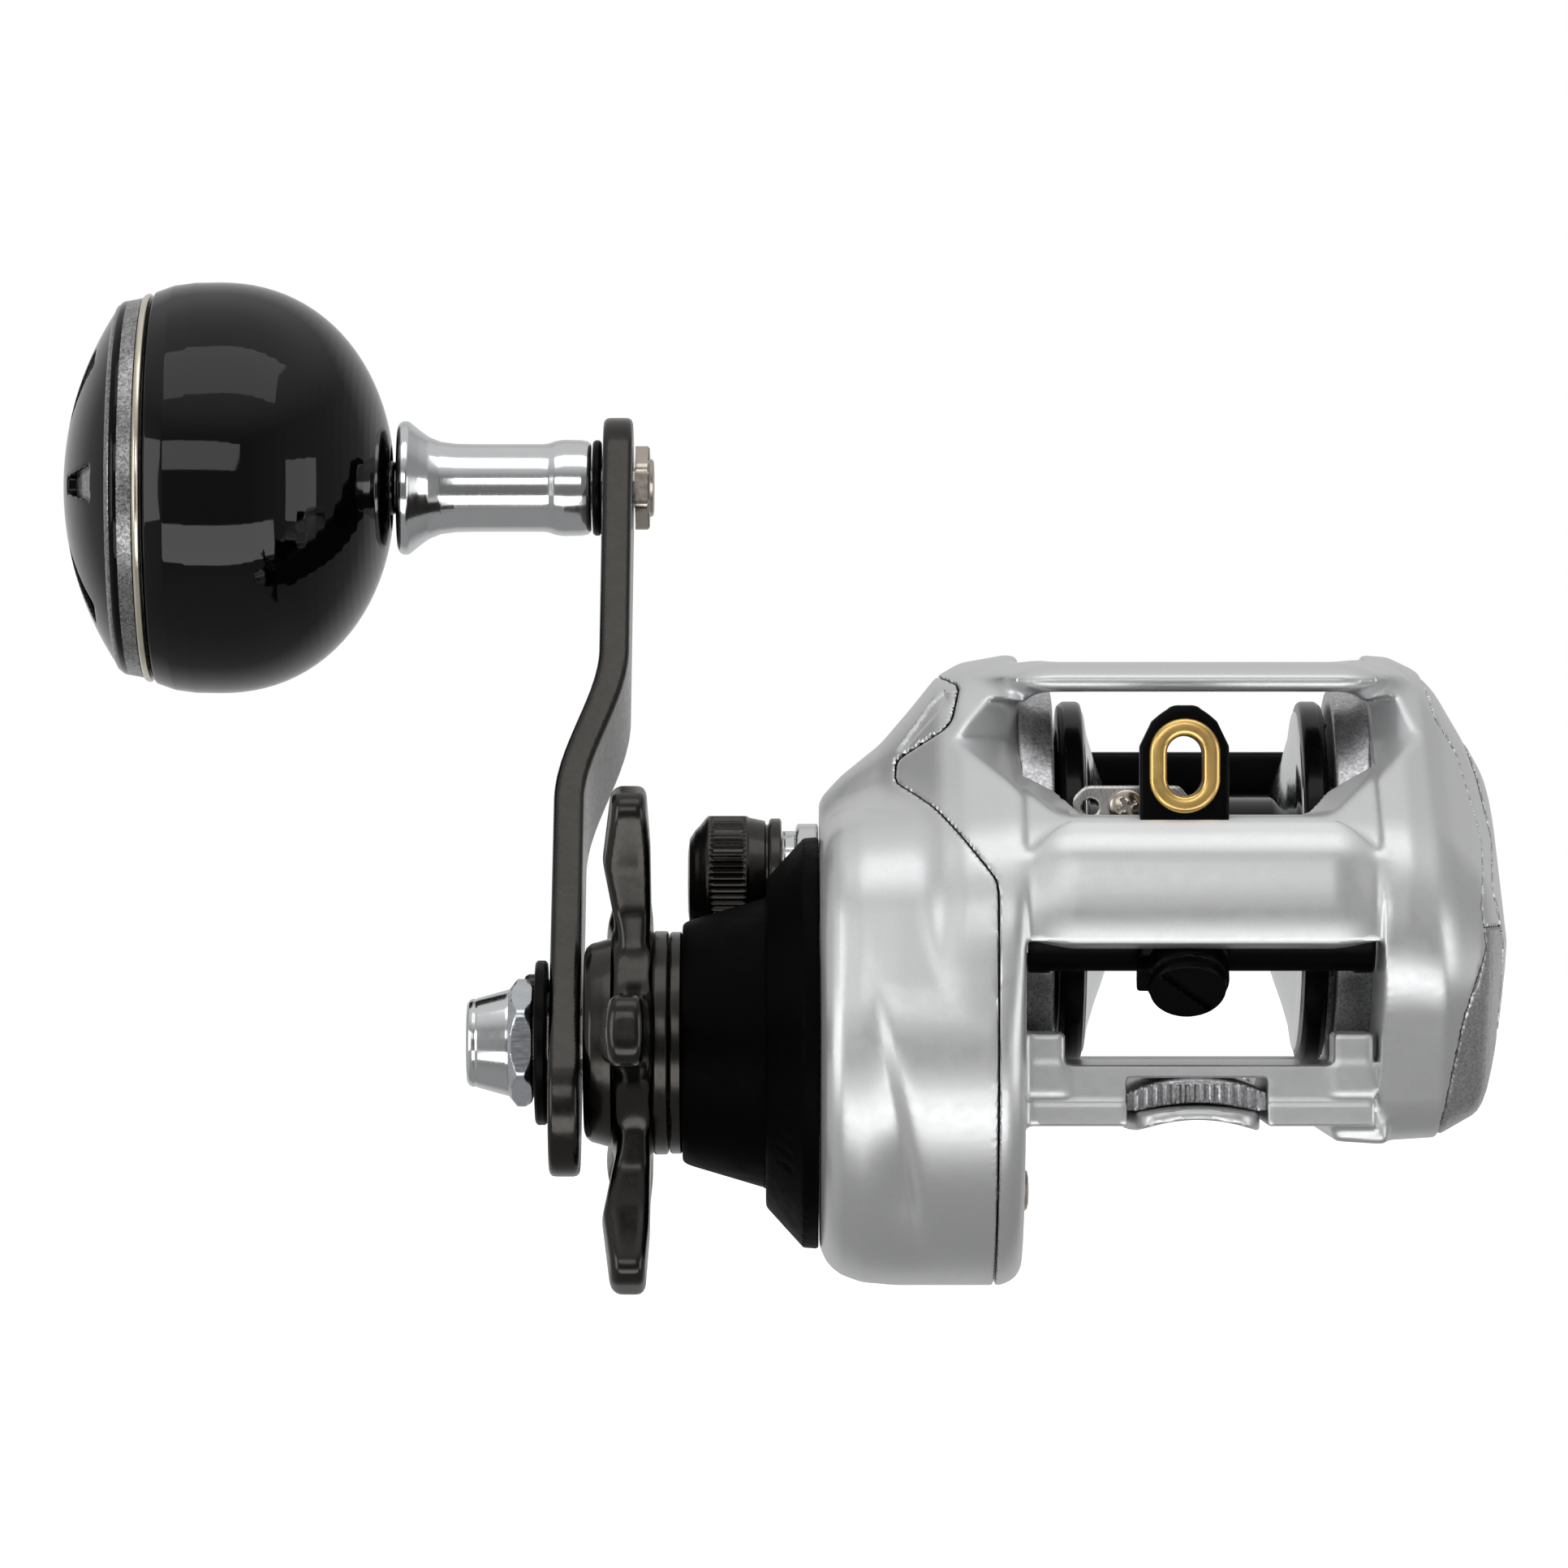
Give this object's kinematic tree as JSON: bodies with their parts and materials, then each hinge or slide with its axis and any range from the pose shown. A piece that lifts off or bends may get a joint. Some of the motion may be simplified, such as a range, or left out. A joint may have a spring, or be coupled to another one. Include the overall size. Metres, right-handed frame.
{
  "type": "baitcasting reel",
  "caption": "Low-profile baitcasting fishing reel with a bent power handle, round knob, star drag wheel, level-wind line guide and open-front frame.",
  "frame": {"origin": "middle of the underside of the reel foot", "axes": "+X from the handle side to the palm side, -Y towards the rod tip, +Z away from the rod"},
  "size_m": [0.1769, 0.1121, 0.1224],
  "materials": {
    "silver_paint": "satin metallic silver paint",
    "bare_casting": "bare cast aluminium, fine sparkle",
    "matte_black": "matte black coating",
    "gunmetal": "dark gunmetal anodise, semi-gloss",
    "black_anodise": "polished black anodise",
    "gloss_black": "deep gloss black lacquer",
    "chrome": "polished",
    "steel": "turned and ground",
    "brass": "machined",
    "gold": "gold nitride, polished",
    "glitter": "coarse metallic flake",
    "black_plastic": "moulded black",
    "carbon": "woven friction disc"
  },
  "bodies": {
    "frame": {"frame": "silver_paint", "reel_foot": "bare_casting", "foot_screw_1": "steel", "foot_screw_2": "steel", "side_screw_1": "steel", "side_screw_2": "steel", "gear_side_cover": "silver_paint", "nose_housing": "matte_black", "nose_ring": "gunmetal", "roller_clutch": "steel", "shaft_bearing": "steel", "cast_control_boss": "chrome", "spool_bearing_gear_side": "steel", "palm_side_band": "bare_casting", "palm_side_cover": "silver_paint", "brake_case": "black_plastic", "spool_bearing_palm_side": "steel", "worm_tube": "black_plastic", "guide_bar": "steel", "bracket": "steel", "bracket_screw": "steel", "yoke_spring_1": "steel", "yoke_spring_2": "steel"},
    "spool": {"spool": "black_anodise", "spool_shaft": "steel", "cross_pin": "steel", "brake_rotor": "bare_casting"},
    "pinion": {"pinion": "brass"},
    "yoke": {"clutch_yoke": "steel"},
    "thumb_bar": {"thumb_bar": "black_plastic"},
    "worm": {"worm_shaft": "steel", "worm_gear": "black_plastic"},
    "line_guide": {"line_guide": "black_plastic", "line_ring": "gold", "pawl": "steel", "pawl_cap": "black_plastic"},
    "handle": {"drive_shaft": "steel", "main_gear": "brass", "drag_washer": "carbon", "drag_pressure_plate": "steel", "level_wind_gear": "brass", "bell_spacer": "gunmetal", "handle_arm": "gunmetal", "handle_nut": "chrome", "nut_retainer": "black_plastic", "retainer_screw": "steel", "knob_axle": "steel", "knob_nut": "steel"},
    "star": {"star_wheel": "gunmetal", "star_nut": "brass", "star_click_ring": "gunmetal"},
    "cast_control": {"cast_control_cap": "gunmetal"},
    "knob": {"knob_washer": "black_plastic", "knob_sleeve": "chrome", "knob_ball": "gloss_black", "knob_bearing_inner": "steel", "knob_bearing_outer": "steel", "knob_ring": "gold", "knob_insert": "glitter", "knob_cap": "chrome"}
  },
  "joints": [
    {"name": "handle_spin", "type": "hinge", "parent": "frame", "child": "handle", "pos_m": [0, -0.01, 0.0084], "axis": [1, 0, 0], "continuous": true},
    {"name": "spool_spin", "type": "hinge", "parent": "frame", "child": "spool", "pos_m": [0, 0.004, 0.0274], "axis": [1, 0, 0], "continuous": true},
    {"name": "thumb_bar_press", "type": "slide", "parent": "frame", "child": "thumb_bar", "axis": [0, 0, -1], "range_m": [0, 0.0045]},
    {"name": "yoke_slide", "type": "slide", "parent": "frame", "child": "yoke", "axis": [-1, 0, 0], "range_m": [0, 0.0018]},
    {"name": "pinion_spin", "type": "hinge", "parent": "yoke", "child": "pinion", "pos_m": [0, 0.004, 0.0274], "axis": [1, 0, 0], "continuous": true},
    {"name": "worm_spin", "type": "hinge", "parent": "frame", "child": "worm", "pos_m": [0, -0.0255, 0.0216], "axis": [1, 0, 0], "continuous": true},
    {"name": "line_guide_slide", "type": "slide", "parent": "frame", "child": "line_guide", "axis": [1, 0, 0], "range_m": [-0.0105, 0.0125]},
    {"name": "star_turn", "type": "hinge", "parent": "handle", "child": "star", "pos_m": [0, -0.01, 0.0084], "axis": [1, 0, 0], "range_deg": [-180, 180]},
    {"name": "knob_spin", "type": "hinge", "parent": "handle", "child": "knob", "pos_m": [0, 0.04586, 0.0764], "axis": [1, 0, 0], "continuous": true},
    {"name": "cast_control_turn", "type": "hinge", "parent": "frame", "child": "cast_control", "pos_m": [0, 0.004, 0.0274], "axis": [1, 0, 0], "range_deg": [-180, 180]}
  ],
  "couplings": [
    {"joint": "spool_spin", "follows": "handle_spin", "ratio": -7.6},
    {"joint": "pinion_spin", "follows": "handle_spin", "ratio": -7.6},
    {"joint": "worm_spin", "follows": "handle_spin", "ratio": -2},
    {"joint": "yoke_slide", "follows": "thumb_bar_press", "ratio": 0.4}
  ]
}
